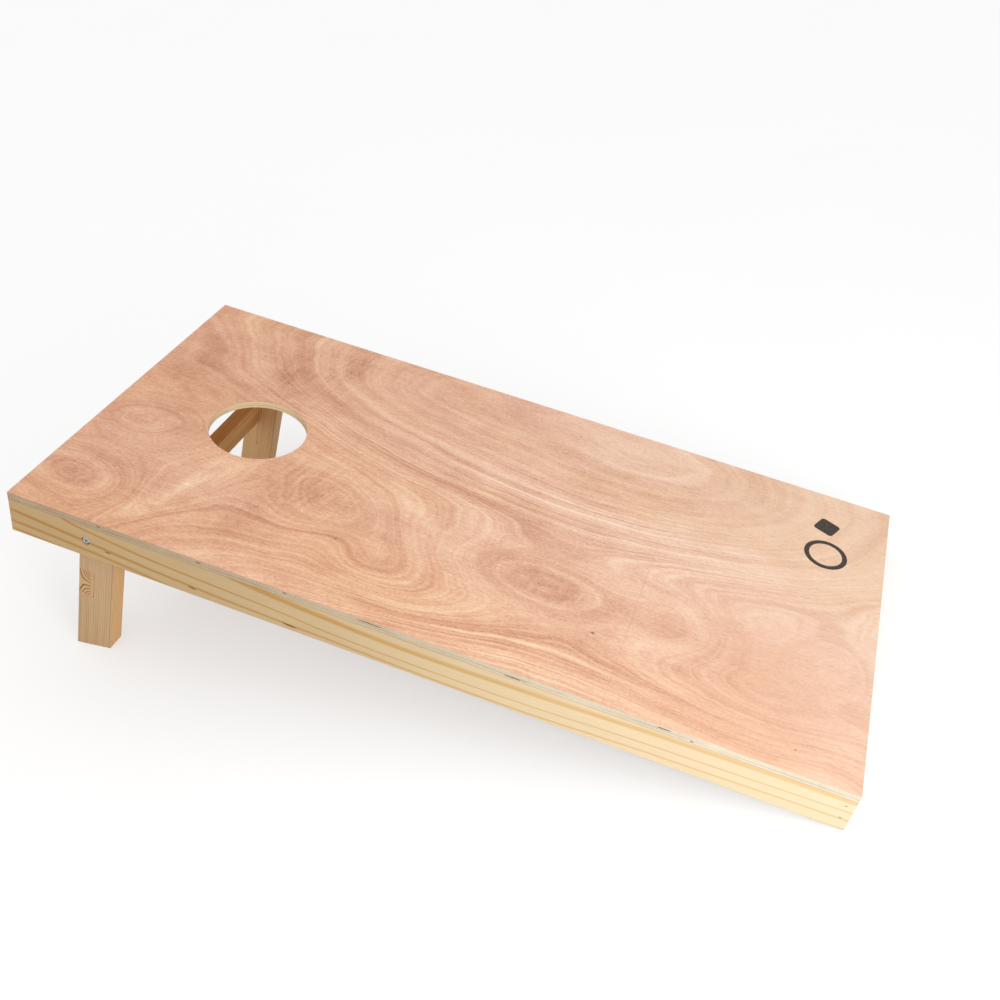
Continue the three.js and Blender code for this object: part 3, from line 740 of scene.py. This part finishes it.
def left_rail_figure(shader, axes, box, late, ends):
    """The outer face's long growth lines and three small bark marks."""
    x, y, z = axes
    share = shader.scaled(x, 1 / BOARD_LENGTH)
    waver = shader.noise(shader.combine(x, y, z), (7, 1, 1), detail=4, seed=2.5)
    depth = shader.math("MULTIPLY_ADD", waver, 2.4 * MM, shader.scaled(z, -1.0, -1.2 * MM))
    narrowing = shader.between(x, 0.05, 0.60, 0.55, 1.0)
    blur = 0.01
    lines = []
    for half_width, strength, points in RAIL_LINES:
        centre = shader.scaled(shader.curve(share, points), BOARD_DEPTH)
        off = shader.product(shader.math("SUBTRACT", depth, centre), narrowing)
        upper = shader.between(off, -1.7 * half_width * MM, -0.3 * half_width * MM)
        lower = shader.between(off, 0.5 * half_width * MM, 1.2 * half_width * MM, strength, 0)
        start, end = points[0][0], points[-1][0]
        begun = shader.between(share, start - blur, start + blur)
        going_on = shader.between(share, end - blur, end + blur, 1, 0 if end < 1 else 1)
        lines.append(shader.product(upper, lower, begun, going_on))
    lines = shader.product(shader.largest(*lines), shader.between(x, 0.2, 1.1, 1.0, 0.6))
    outer = left_face(shader, y)
    plane = shader.combine(x, z)
    marks = []
    for along, below, half_length, half_height in RAIL_SPOTS:
        radii = (half_length * MM, half_height * MM)
        marks.append(shader.spot(plane, (along * MM, -below * MM), radii, turn=-4))
    ragged = shader.noise(shader.combine(x, y, z), (400, 1, 900), detail=2, seed=6.5)
    marks = shader.total(shader.largest(*marks), shader.scaled(ragged, 0.7, -0.35))
    marks = shader.product(shader.between(marks, 0.2, 0.6, 0, 0.9), outer)
    return shader.blended(outer, late, lines), marks


def right_leg_figure(shader, axes, box, late, ends):
    """A drying crack down the inner face, its dark line painted shade in the gap, ending at a small
    dark knot.
    """
    x, y, z = axes
    top, bottom, knot = -90 * MM, -195 * MM, (-0.8 * MM, -195 * MM)
    waver = shader.noise(shader.combine(0.0, 0.0, z), (1, 1, 40), detail=4, seed=9.5)
    off = shader.math("MULTIPLY_ADD", waver, 9 * MM, shader.scaled(x, 1.0, -2 * MM))
    above_knot = shader.between(z, bottom, bottom + 8 * MM)
    below_top = shader.between(z, top, top + 20 * MM, 1, 0)
    # Painted shade: the crack's dark line stands for its shaded gap.
    crack = shader.product(near(shader, off, 0.8 * MM, 0.8 * MM), above_knot, below_top, 0.55)
    spot = shader.spot(shader.combine(x, z), knot, (1.6 * MM, 4.0 * MM))
    marks = shader.largest(crack, shader.scaled(spot, 0.6))
    inner = shader.between(y, box[0][1] + 0.3 * MM, box[0][1] + 0.6 * MM, 1, 0)
    return late, shader.product(marks, inner)


def stretcher_figure(shader, axes, box, late, ends):
    """Saddle-shaped rings: a sheaf of arcs at the ends and fine lines along the top."""
    area_step = 110 * MM * MM
    x, _, z = axes
    low, high = box
    warp = shader.noise(shader.combine(x, 0.0, z), (120, 1, 90), detail=2, seed=4.0)
    u = shader.math("SUBTRACT", x, low[0] - 1 * MM)
    v = shader.math("ABSOLUTE", shader.math("SUBTRACT", z, (low[2] + high[2]) / 2))
    rings = shader.scaled(shader.product(u, v), 1 / area_step)
    wave = shader.math("FRACT", shader.total(rings, shader.scaled(warp, 0.6, 0.55)))
    rise, fall = shader.between(wave, 0.22, 0.42), shader.between(wave, 0.50, 0.75, 1, 0)
    fade = shader.between(x, high[0] - 8 * MM, high[0] - 1 * MM, 1, 0)
    line = shader.product(rise, fall, fade, shader.scaled(ends, 0.45, 0.55))
    rings = shader.product(late, shader.scaled(ends, -0.8, 0.8))
    return shader.largest(line, rings), 0.0


# ----- Metal, nylon and filler -----


def painted_socket_shade(shader):
    """How deep a point is in a pivot bolt's cross recess, from 0 to 1, for the painted shade there."""
    x, y, z = shader.coordinates(LEGS)
    head = -section(LEGS, "left_pivot_bolt")[0][1]
    from_axis = shader.vector("LENGTH", shader.combine(x, 0.0, z))
    below = shader.math("SUBTRACT", head, shader.math("ABSOLUTE", y))
    within = shader.between(from_axis, 3.4 * MM, 3.6 * MM, 1, 0)
    above_shank = shader.between(below, 2.8 * MM, 3.0 * MM, 1, 0)
    return shader.product(within, above_shank, shader.between(below, 0.1 * MM, 0.9 * MM))


def zinc_material(name, socket=False):
    """Bright zinc plating: fine scratches, cloudy tint, duller spots, and painted shade in the cross
    recess.
    """
    shader = material_shader(name)
    place = shader.place()
    cloud = shader.noise(place, (380, 380, 380), detail=3, seed=1.0)
    scratches = shader.noise(place, (3000, 260, 3000), detail=2, roughness=0.6, seed=2.0)
    tint = shader.mix(shader.between(cloud, 0.35, 0.7), rgb(206, 214, 220), rgb(184, 186, 178))
    dull = shader.noise(place, (900, 900, 900), detail=2, seed=3.0)
    tint = shader.mix(shader.between(dull, 0.6, 0.75, 0, 0.4), tint, rgb(140, 142, 140))
    # Painted shade in a pivot bolt's cross recess.
    if socket:
        tint = shader.mix(shader.scaled(painted_socket_shade(shader), 0.85), tint, rgb(44, 50, 54))
    roughness = shader.total(0.20, shader.scaled(cloud, 0.22), shader.scaled(scratches, 0.12))
    normal = shader.bump(scratches, 0.02 * MM, 0.4)
    return shader.surface(tint, roughness, Normal=normal, Metallic=1.0)


def brad_material():
    """Plain steel wire, dulled and a little brown."""
    shader = material_shader("plain_steel")
    place = shader.place()
    cloud = shader.noise(place, (700, 700, 700), detail=3, seed=1.0)
    colour = shader.mix(cloud, rgb(168, 142, 112), rgb(138, 108, 78))
    normal = shader.bump(cloud, 0.03 * MM, 0.4)
    return shader.surface(colour, shader.scaled(cloud, 0.3, 0.4), Normal=normal, Metallic=0.3)


def nylon_material():
    """Milky nylon with a moulded surface."""
    shader = material_shader("nylon_natural")
    place = shader.place()
    grain = shader.noise(place, (1400, 1400, 1400), detail=2, seed=1.0)
    cloud = shader.noise(place, (300, 300, 300), detail=2, seed=2.0)
    colour = shader.mix(cloud, rgb(236, 234, 224), rgb(218, 214, 200))
    roughness = shader.scaled(grain, 0.15, 0.38)
    normal = shader.bump(grain, 0.03 * MM, 0.3)
    return shader.surface(colour, roughness, Normal=normal, Subsurface_Weight=0.2, Subsurface_Scale=MM)


def filler_material(name, light, dark):
    """Wood filler, sanded flush over a brad."""
    shader = material_shader(name)
    place = shader.place()
    grain = shader.noise(place, (1800, 1800, 1800), detail=2, seed=1.0)
    colour = shader.mix(grain, dark, light)
    normal = shader.bump(grain, 0.05 * MM, 0.5)
    return shader.surface(colour, shader.scaled(grain, 0.2, 0.6), Normal=normal)


# ----- Finish of the CAD nodes -----


class GeometryGroup(NodeTree):
    """A geometry node group for a modifier."""

    def __init__(self, name):
        tree = bpy.data.node_groups.new(name, "GeometryNodeTree")
        for way in ("INPUT", "OUTPUT"):
            tree.interface.new_socket("Geometry", in_out=way, socket_type="NodeSocketGeometry")
        super().__init__(tree)
        self.source = self.add("NodeGroupInput").outputs[0]

    def above(self, value, limit):
        inputs = {0: value, 1: limit}
        return self.fed("FunctionNodeCompare", inputs, operation="GREATER_THAN").outputs[0]

    def steep_edges(self):
        """Tells the edges that stay sharp from the shallow ones of a rounded face."""
        angle = self.add("GeometryNodeInputMeshEdgeAngle").outputs["Unsigned Angle"]
        return self.above(angle, math.radians(35))

    def finish(self, geometry):
        self.fed("NodeGroupOutput", {0: geometry})
        return self.tree


def smooth_group():
    """A modifier that smooths faces across shallow edges and drops the imported normals."""
    group = GeometryGroup("smooth_shallow_edges")
    inputs = dict(Geometry=group.source, Name="custom_normal")
    bare = group.fed("GeometryNodeRemoveAttribute", inputs).outputs["Geometry"]
    faces = group.fed("GeometryNodeSetShadeSmooth", dict(Geometry=bare), domain="FACE")
    inputs = {"Geometry": faces.outputs[0], "Selection": group.steep_edges(), "Shade Smooth": False}
    edges = group.fed("GeometryNodeSetShadeSmooth", inputs, domain="EDGE")
    return group.finish(edges.outputs[0])


def edge_weight_group():
    """A modifier that marks the steep edges between vertices of the group 'outer'."""
    group = GeometryGroup("mark_outer_edges")
    inputs = dict(Name="outer")
    outer = group.fed("GeometryNodeInputNamedAttribute", inputs, data_type="FLOAT")
    both = group.above(outer.outputs["Attribute"], 0.99)
    marked = group.fed("FunctionNodeBooleanMath", {0: both, 1: group.steep_edges()})
    inputs = dict(Geometry=group.source, Name="bevel_weight_edge", Value=marked.outputs[0])
    settings = dict(data_type="FLOAT", domain="EDGE")
    stored = group.fed("GeometryNodeStoreNamedAttribute", inputs, **settings)
    return group.finish(stored.outputs["Geometry"])


SMOOTH = smooth_group()
EDGE_WEIGHT = edge_weight_group()
TIMBER_ROUNDING = 0.8 * MM
PLYWOOD_ROUNDING = 0.35 * MM
NEAR_FACE = 0.05 * MM  # how close to a face a vertex of it lies


def weld(obj):
    """Joins the imported faces at their shared corners and dissolves flat triangles."""
    welded = obj.modifiers.new("weld", "WELD")
    welded.merge_threshold = 0.01 * MM
    flat = obj.modifiers.new("flat_faces", "DECIMATE")
    flat.decimate_type = "DISSOLVE"
    flat.angle_limit = math.radians(0.5)


def smooth(obj):
    """Smooths shallow edges. Large faces keep their own normals, so flat wood stays flat."""
    modifier = obj.modifiers.new("smooth", "NODES")
    modifier.node_group = SMOOTH
    weighted = obj.modifiers.new("weighted_normals", "WEIGHTED_NORMAL")
    weighted.mode = "FACE_AREA"
    weighted.keep_sharp = True


def ease_edges(obj, outer, radius):
    """Rounds the edges between the given vertices, as sandpaper does."""
    group = obj.vertex_groups.new(name="outer")
    group.add([int(index) for index in np.flatnonzero(outer)], 1.0, "REPLACE")
    weld(obj)
    marks = obj.modifiers.new("outer_edges", "NODES")
    marks.node_group = EDGE_WEIGHT
    bevel = obj.modifiers.new("eased_edges", "BEVEL")
    bevel.limit_method = "WEIGHT"
    bevel.width = radius
    bevel.segments = 3
    bevel.use_clamp_overlap = False
    bevel.vmesh_method = "CUTOFF"
    smooth(obj)


def block_corners(space, name):
    """Which vertices of a node are the eight corners of its block."""
    points = space.coordinates(frame["nodes"][name])
    low, high = points.min(axis=0), points.max(axis=0)
    at_face = (points - low < NEAR_FACE) | (high - points < NEAR_FACE)
    return at_face.all(axis=1)


def bag_hole_rim(name):
    points = BOARD.coordinates(frame["nodes"][name])
    from_axis = np.hypot(points[:, 0] - BAG_HOLE_FROM_HEAD, points[:, 1])
    return abs(from_axis - BAG_HOLE_RADIUS) < 0.2 * MM


def leg_outline(name):
    """Which vertices of a leg are on its side faces' outline."""
    points = LEGS.coordinates(frame["nodes"][name])
    low, high = points.min(axis=0), points.max(axis=0)
    on_side = (points[:, 1] - low[1] < NEAR_FACE) | (high[1] - points[:, 1] < NEAR_FACE)
    off_bolt_hole = np.hypot(points[:, 0], points[:, 2]) > 10 * MM
    return on_side & off_bolt_hole


def paint(obj, material):
    obj.data.materials.clear()
    obj.data.materials.append(material)


def timber(name, space, order, outer, tones, pith, spacing, **options):
    """Gives a timber node its material and eased edges."""
    obj = frame["nodes"][name]
    box = section(space, name)
    paint(obj, timber_material(f"wood_{name}", space, order, box, tones, pith, spacing, **options))
    ease_edges(obj, outer, TIMBER_ROUNDING)


ALONG_X, ALONG_Y, ALONG_Z = (0, 1, 2), (1, 0, 2), (2, 0, 1)

deck = frame["nodes"]["deck_panel"]
paint(deck, plywood_material())
deck_edges = block_corners(BOARD, "deck_panel") | bag_hole_rim("deck_panel")
ease_edges(deck, deck_edges, PLYWOOD_ROUNDING)

RAILS = [
    ("left_side_rail", ALONG_X, (-0.205, -0.013), dict(seed=1.0, figure=left_rail_figure)),
    ("right_side_rail", ALONG_X, (0.225, -0.030), dict(seed=22.0)),
    ("head_end_rail", ALONG_Y, (0.085, -0.055), dict(seed=37.0)),
    ("foot_end_rail", ALONG_Y, (1.120, -0.020), dict(seed=51.0)),
]
for name, order, pith, options in RAILS:
    outer = block_corners(BOARD, name)
    timber(name, BOARD, order, outer, PINE_TONES, pith, spacing=6 * MM, **options)

LEG_PIECES = [
    ("left_leg", LEG_TONES, (0.095, -0.180), dict(seed=64.0)),
    ("right_leg", FAR_LEG_LIT_TONES, (-0.100, 0.200), dict(seed=75.0, figure=right_leg_figure)),
]
for name, tones, pith, options in LEG_PIECES:
    options.update(spacing=2.8 * MM, sway=1.2, streaks=90)
    timber(name, LEGS, ALONG_Z, leg_outline(name), tones, pith, **options)
timber(
    "leg_stretcher", LEGS, ALONG_Y, block_corners(LEGS, "leg_stretcher"), STRETCHER_TONES,
    pith=(0.030, -0.105), spacing=4.2 * MM, sway=1.0, seed=88.0, streaks=50,
    figure=stretcher_figure,
)

HARDWARE = dict(
    nylon=nylon_material(), brad=brad_material(), bolt=zinc_material("zinc_bolt", socket=True)
)
HARDWARE.update(dict.fromkeys(("washer", "nut", "screw"), zinc_material("zinc_plated_steel")))
for name, obj in frame["nodes"].items():
    material = next((HARDWARE[word] for word in HARDWARE if word in name), None)
    if material is None:
        continue
    paint(obj, material)
    weld(obj)
    smooth(obj)


# ----- Filler over the brads of the deck and of the head end's corners -----


def brad_filler(name, brads, outward, face, material):
    """
    One flush plug of filler above each brad's head, sunk a little at its middle. outward is the
    way the heads look, and face is how far out the wood's face is.
    """
    half_length, half_width, sink, gap = 1.75 * MM, 0.95 * MM, 0.06 * MM, 0.05 * MM
    outward = Vector(outward)
    along = half_length * Vector((1, 0, 0))
    across = half_width * outward.cross(Vector((1, 0, 0)))
    vertices, faces = [], []
    for brad in brads:
        low, high = (Vector(corner) for corner in section(BOARD, brad))
        head = max(low.dot(outward), high.dot(outward)) + gap
        middle = (low + high) / 2
        middle -= middle.dot(outward) * outward
        start = len(vertices)
        for level in (head, face):
            for u, v in ((-1, -1), (1, -1), (1, 1), (-1, 1)):
                corner = middle + level * outward + u * along + v * across
                vertices.append(BOARD.place(*corner))
        vertices.append(BOARD.place(*(middle + (face - sink) * outward)))
        faces.append([start + index for index in (3, 2, 1, 0)])
        for side in range(4):
            following = (side + 1) % 4
            faces.append([start + side, start + following, start + 4 + following, start + 4 + side])
            faces.append([start + 4 + side, start + 4 + following, start + 8])
    mesh = bpy.data.meshes.new(name)
    mesh.from_pydata(vertices, [], faces)
    obj = bpy.data.objects.new(name, mesh)
    bpy.context.scene.collection.objects.link(obj)
    paint(obj, material)
    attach(obj, "board")


def brads_named(start):
    return [name for name in sorted(frame["nodes"]) if name.startswith(start) and "brad" in name]


FLUSH_GAP = 0.01 * MM  # keeps the filler within the board's width
veneer_filler = filler_material("veneer_filler", rgb(230, 190, 160), rgb(214, 168, 138))
pine_filler = filler_material("pine_filler", rgb(204, 172, 126), rgb(188, 156, 110))
brad_filler("deck_brad_filler", brads_named("deck_"), (0, 0, 1), 0.0, veneer_filler)
for side, outward in (("left", -1), ("right", 1)):
    brad_filler(
        f"{side}_corner_filler", brads_named(f"head_{side}"), (0, outward, 0),
        HALF_WIDTH - FLUSH_GAP, pine_filler,
    )


# ----- Floor, light and camera -----


def floor_material():
    """
    A pale table, lit from inside. It throws less light on the board than the camera sees, and
    is clear from below and to what stands on it.
    """
    shader = material_shader("studio_floor")
    place = shader.place()
    cloud = shader.noise(place, (2, 2, 2), detail=2, seed=1.0)
    colour = shader.mix(cloud, rgb(248, 248, 248), rgb(251, 251, 251))
    glow = shader.add("ShaderNodeEmission").outputs[0]
    seen = shader.principled(colour, 0.9, Specular_IOR_Level=0.1)
    seen = shader.layered(0.5, seen, glow)
    thrown = shader.principled(rgb(220, 220, 220), 0.9, Specular_IOR_Level=0.1)
    ray = shader.add("ShaderNodeLightPath").outputs
    table = shader.layered(ray["Is Camera Ray"], thrown, seen)
    from_below = shader.add("ShaderNodeNewGeometry").outputs["Backfacing"]
    touching = shader.math("LESS_THAN", ray["Ray Length"], 1 * MM)
    clear = shader.add("ShaderNodeBsdfTransparent").outputs[0]
    return shader.finish(shader.layered(shader.largest(from_below, touching), table, clear))


def studio_floor():
    half = 12.0
    mesh = bpy.data.meshes.new("studio_floor")
    corners = [(-half, -half, 0), (half, -half, 0), (half, half, 0), (-half, half, 0)]
    mesh.from_pydata(corners, [], [(0, 1, 2, 3)])
    obj = bpy.data.objects.new("studio_floor", mesh)
    obj.location.z = -0.1 * MM
    bpy.context.scene.collection.objects.link(obj)
    paint(obj, floor_material())


def area_light(name, place, target, size, watts):
    light = bpy.data.lights.new(name, "AREA")
    light.shape = "DISK"
    light.size = size
    light.energy = watts
    obj = bpy.data.objects.new(name, light)
    obj.location = place
    obj.rotation_euler = (Vector(target) - Vector(place)).to_track_quat("-Z", "Y").to_euler()
    bpy.context.scene.collection.objects.link(obj)


def studio_world(horizon, zenith):
    """A room that is brighter overhead. The camera sees it white."""
    shader = Shader(bpy.data.worlds.new("studio"))
    height = split(shader, shader.add("ShaderNodeTexCoord").outputs["Generated"])["Z"]
    inputs = {"Value": height, "To Min": horizon, "To Max": zenith}
    strength = shader.fed("ShaderNodeMapRange", inputs).outputs[0]
    to_camera = shader.add("ShaderNodeLightPath").outputs["Is Camera Ray"]
    inputs = dict(Color=(1, 1, 1, 1), Strength=shader.blended(to_camera, strength, 1.0))
    room = shader.fed("ShaderNodeBackground", inputs).outputs[0]
    bpy.context.scene.world = shader.finish(room, "ShaderNodeOutputWorld")


def product_camera():
    """The camera, from its place, the way it looks, and its lens."""
    place = (0.5221, -1.3262, 1.2139)
    azimuth, elevation, roll = math.radians(19.49), math.radians(34.93), math.radians(-2.39)
    camera = bpy.data.cameras.new("camera")
    camera.lens = 41.32
    camera.sensor_width = 36.0
    camera.shift_x = -0.01124
    camera.shift_y = -0.01363
    camera.clip_end = 60
    obj = bpy.data.objects.new("camera", camera)
    turn = Matrix.Rotation(azimuth, 4, "Z")
    pitch = Matrix.Rotation(math.pi / 2 - elevation, 4, "X")
    tilt = Matrix.Rotation(roll, 4, "Z")
    obj.matrix_world = Matrix.Translation(place) @ turn @ pitch @ tilt
    bpy.context.scene.collection.objects.link(obj)
    bpy.context.scene.camera = obj


studio_floor()
studio_world(horizon=0.40, zenith=1.25)
area_light("key_light", place=(1.3, -1.4, 0.8), target=(0.5, -0.3, 0.05), size=0.9, watts=20)
product_camera()
bpy.context.scene.view_settings.view_transform = "Standard"
